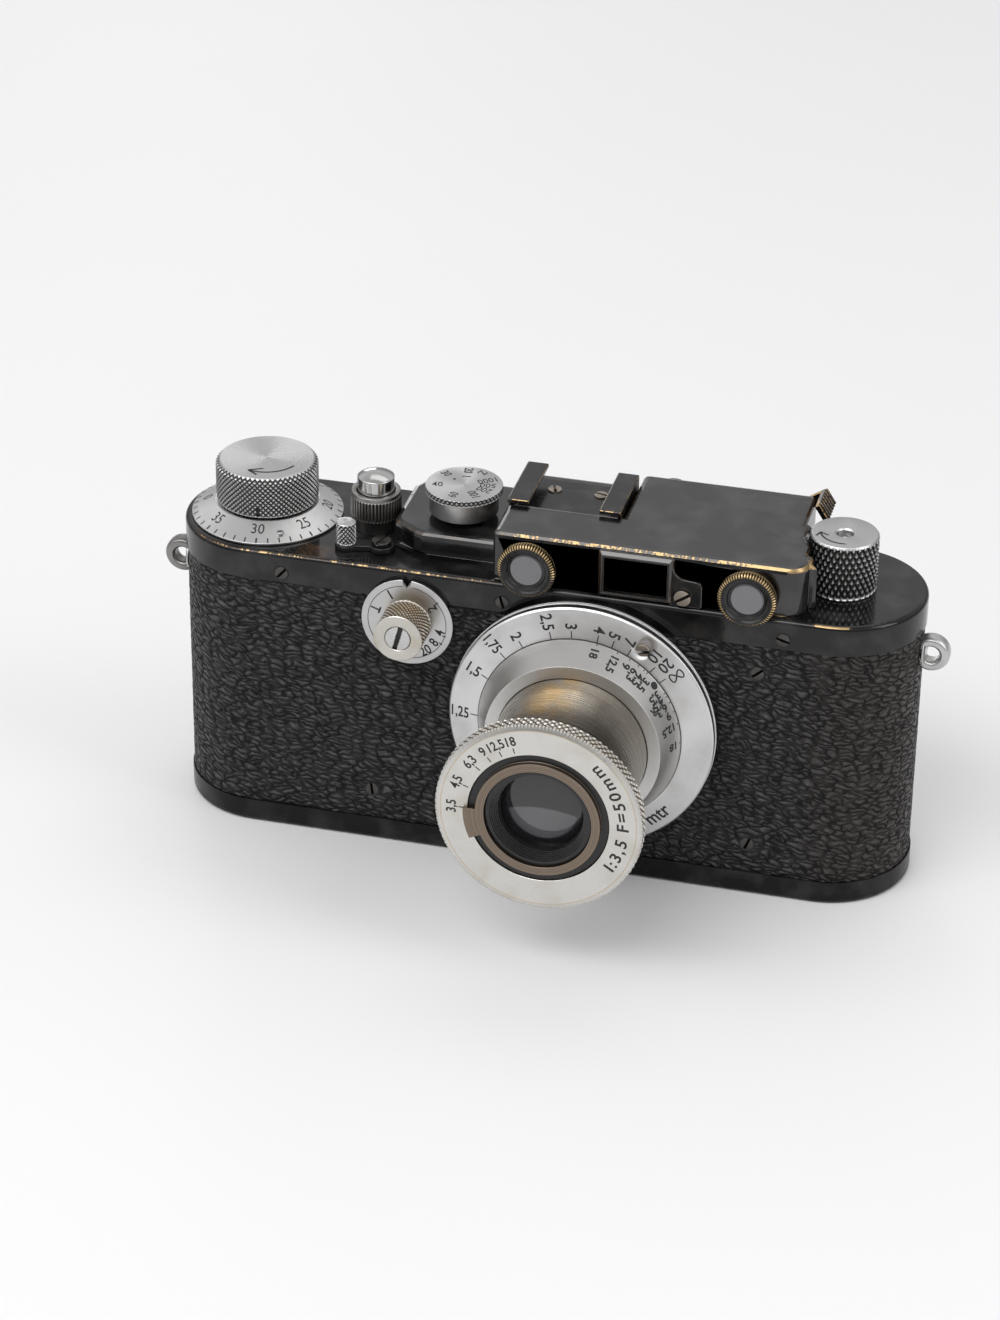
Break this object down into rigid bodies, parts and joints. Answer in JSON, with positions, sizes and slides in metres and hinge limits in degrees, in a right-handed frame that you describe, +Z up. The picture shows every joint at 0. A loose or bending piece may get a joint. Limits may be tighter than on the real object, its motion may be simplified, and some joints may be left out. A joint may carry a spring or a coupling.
{
  "type": "rangefinder camera",
  "caption": "Compact 35 mm film rangefinder camera with a collapsible 50 mm lens, knob wind, two shutter speed dials and a bottom-loading base.",
  "frame": {"origin": "middle of the base plate's underside", "axes": "+X to the right seen from the front, along the body; +Y from the lens side to the back; +Z up"},
  "size_m": [0.1422, 0.0669, 0.0666],
  "materials": {
    "black_enamel": "gloss",
    "leather": "grained",
    "satin_nickel": "satin",
    "nickel": "polished",
    "brass": "satin",
    "worn_nickel": "satin",
    "inner_metal": "satin",
    "black_metal": "matte",
    "shell_metal": "matte",
    "glass": "clear",
    "curtain_cloth": "matte",
    "bronze": "satin"
  },
  "bodies": {
    "camera_body": {"body_shell": "shell_metal", "leather_cover": "leather", "top_plate": "black_enamel", "mechanism_plate": "brass", "shutter_crate": "inner_metal", "film_gate": "black_metal", "pressure_plate": "black_metal", "shutter_curtains": "curtain_cloth", "tension_rollers": "inner_metal", "rangefinder_housing": "black_enamel", "rf_window_rims": "brass", "cover_glasses": "glass", "cover_screws": "black_metal", "finder_frame": "black_enamel", "accessory_shoe": "black_enamel", "finder_eyepiece": "black_enamel", "rf_eyepiece": "black_enamel", "rf_fixed_prism": "glass", "release_collar": "black_enamel", "release_spring": "inner_metal", "clutch_screw": "black_metal", "strap_lugs": "nickel", "slow_dial_bush": "black_metal", "slow_escapement": "brass", "body_mount_ring": "nickel", "body_screws": "black_metal"},
    "film_wind": {"wind_knob": "satin_nickel", "wind_shaft": "brass", "take_up_spool": "black_metal"},
    "frame_counter": {"frame_counter_dial": "satin_nickel"},
    "release": {"release_button": "nickel"},
    "sprocket": {"sprocket_drum": "inner_metal"},
    "clutch": {"clutch_lever": "black_enamel", "clutch_knob": "nickel"},
    "shutter_drum": {"curtain_drum": "inner_metal"},
    "dial_setting": {"dial_core": "brass"},
    "shutter_dial": {"speed_dial": "satin_nickel"},
    "rewind_spindle": {"rewind_shaft": "inner_metal"},
    "rewind_grip": {"rewind_knob": "satin_nickel"},
    "slow_speeds": {"slow_dial": "satin_nickel", "slow_dial_knob": "nickel", "slow_dial_screw": "nickel"},
    "diopter": {"diopter_lever": "black_enamel"},
    "rf_lever": {"rf_arm": "inner_metal", "rf_moving_prism": "glass"},
    "lens_mount": {"lens_flange": "satin_nickel"},
    "lens_coupling": {"coupling_ring": "brass"},
    "focus_mount": {"focus_ring": "nickel"},
    "infinity_catch": {"infinity_button": "nickel"},
    "barrel_guide": {"bayonet_ring": "brass"},
    "lens_barrel": {"lens_tube": "worn_nickel", "front_ring": "satin_nickel", "optics_barrel": "black_metal", "lens_glasses": "glass", "iris_blades": "black_metal"},
    "aperture": {"aperture_ring": "bronze"},
    "base": {"base_plate": "black_enamel", "tripod_bush": "brass"},
    "base_lock": {"base_key": "nickel"},
    "key_handle": {"base_key_flap": "nickel"}
  },
  "joints": [
    {"name": "wind_turn", "type": "hinge", "parent": "camera_body", "child": "film_wind", "pos_m": [-0.0519, 0, 0.06], "axis": [0, 0, -1], "continuous": true},
    {"name": "counter_turn", "type": "hinge", "parent": "camera_body", "child": "frame_counter", "pos_m": [-0.0519, 0, 0.057], "axis": [0, 0, -1], "continuous": true},
    {"name": "sprocket_turn", "type": "hinge", "parent": "camera_body", "child": "sprocket", "pos_m": [-0.0319, 0, 0.05], "axis": [0, 0, -1], "continuous": true},
    {"name": "shutter_drum_turn", "type": "hinge", "parent": "camera_body", "child": "shutter_drum", "pos_m": [-0.0159, 0, 0.05], "axis": [0, 0, -1], "continuous": true},
    {"name": "dial_set", "type": "hinge", "parent": "shutter_drum", "child": "dial_setting", "pos_m": [-0.0159, 0, 0.062], "axis": [0, 0, 1], "range_deg": [0, 300]},
    {"name": "dial_lift", "type": "slide", "parent": "dial_setting", "child": "shutter_dial", "axis": [0, 0, 1], "range_m": [0, 0.002], "stiffness_N_per_m": 200, "springref_m": -0.001},
    {"name": "release_press", "type": "slide", "parent": "camera_body", "child": "release", "axis": [0, 0, -1], "range_m": [0, 0.002], "stiffness_N_per_m": 300, "springref_m": -0.001, "deforming": ["release_spring"]},
    {"name": "clutch_swing", "type": "hinge", "parent": "camera_body", "child": "clutch", "pos_m": [-0.0285, -0.0085, 0.0564], "axis": [0, 0, 1], "range_deg": [0, 50]},
    {"name": "rewind_turn", "type": "hinge", "parent": "camera_body", "child": "rewind_spindle", "pos_m": [0.0515, 0, 0.055], "axis": [0, 0, -1], "continuous": true},
    {"name": "rewind_pull", "type": "slide", "parent": "rewind_spindle", "child": "rewind_grip", "axis": [0, 0, 1], "range_m": [0, 0.006]},
    {"name": "slow_dial_turn", "type": "hinge", "parent": "camera_body", "child": "slow_speeds", "pos_m": [-0.02185, -0.016, 0.0462], "axis": [0, -1, 0], "range_deg": [0, 220]},
    {"name": "diopter_turn", "type": "hinge", "parent": "camera_body", "child": "diopter", "pos_m": [0.0378, 0.0154, 0.0594], "axis": [0, 1, 0], "range_deg": [0, 40]},
    {"name": "rf_lever_swing", "type": "hinge", "parent": "camera_body", "child": "rf_lever", "pos_m": [-0.0007, -0.007, 0.05], "axis": [0, 0, -1], "range_deg": [0, 12.4]},
    {"name": "lens_removal", "type": "slide", "parent": "camera_body", "child": "lens_mount", "axis": [0, -1, 0], "range_m": [0, 0.025]},
    {"name": "focus_travel", "type": "slide", "parent": "lens_mount", "child": "lens_coupling", "axis": [0, -1, 0], "range_m": [0, 0.0028]},
    {"name": "focus_turn", "type": "hinge", "parent": "lens_coupling", "child": "focus_mount", "pos_m": [0.0101, 0, 0.0314], "axis": [0, -1, 0], "range_deg": [0, 178]},
    {"name": "infinity_press", "type": "slide", "parent": "focus_mount", "child": "infinity_catch", "axis": [0, 1, 0], "range_m": [0, 0.0009], "stiffness_N_per_m": 300, "springref_m": -0.001},
    {"name": "barrel_turn", "type": "hinge", "parent": "focus_mount", "child": "barrel_guide", "pos_m": [0.0101, 0, 0.0314], "axis": [0, -1, 0], "range_deg": [0, 35]},
    {"name": "barrel_collapse", "type": "slide", "parent": "barrel_guide", "child": "lens_barrel", "axis": [0, 1, 0], "range_m": [0, 0.0205]},
    {"name": "aperture_turn", "type": "hinge", "parent": "lens_barrel", "child": "aperture", "pos_m": [0.0101, 0, 0.0314], "axis": [0, 1, 0], "range_deg": [0, 67.5]},
    {"name": "base_removal", "type": "slide", "parent": "camera_body", "child": "base", "axis": [0, 0, -1], "range_m": [0, 0.03]},
    {"name": "base_key_turn", "type": "hinge", "parent": "base", "child": "base_lock", "pos_m": [0.045, 0, 0.001], "axis": [0, 0, -1], "range_deg": [0, 180]},
    {"name": "key_flap_fold", "type": "hinge", "parent": "base_lock", "child": "key_handle", "pos_m": [0.045, 0.0009, 0.00052], "axis": [-1, 0, 0], "range_deg": [0, 90]}
  ],
  "couplings": [
    {"joint": "counter_turn", "follows": "wind_turn", "ratio": -0.025},
    {"joint": "sprocket_turn", "follows": "wind_turn", "ratio": -1},
    {"joint": "shutter_drum_turn", "follows": "wind_turn", "ratio": 1.6667},
    {"joint": "focus_travel", "follows": "focus_turn", "m_per_rad": 0.00088519},
    {"joint": "rf_lever_swing", "follows": "focus_turn", "ratio": 0.068594}
  ]
}
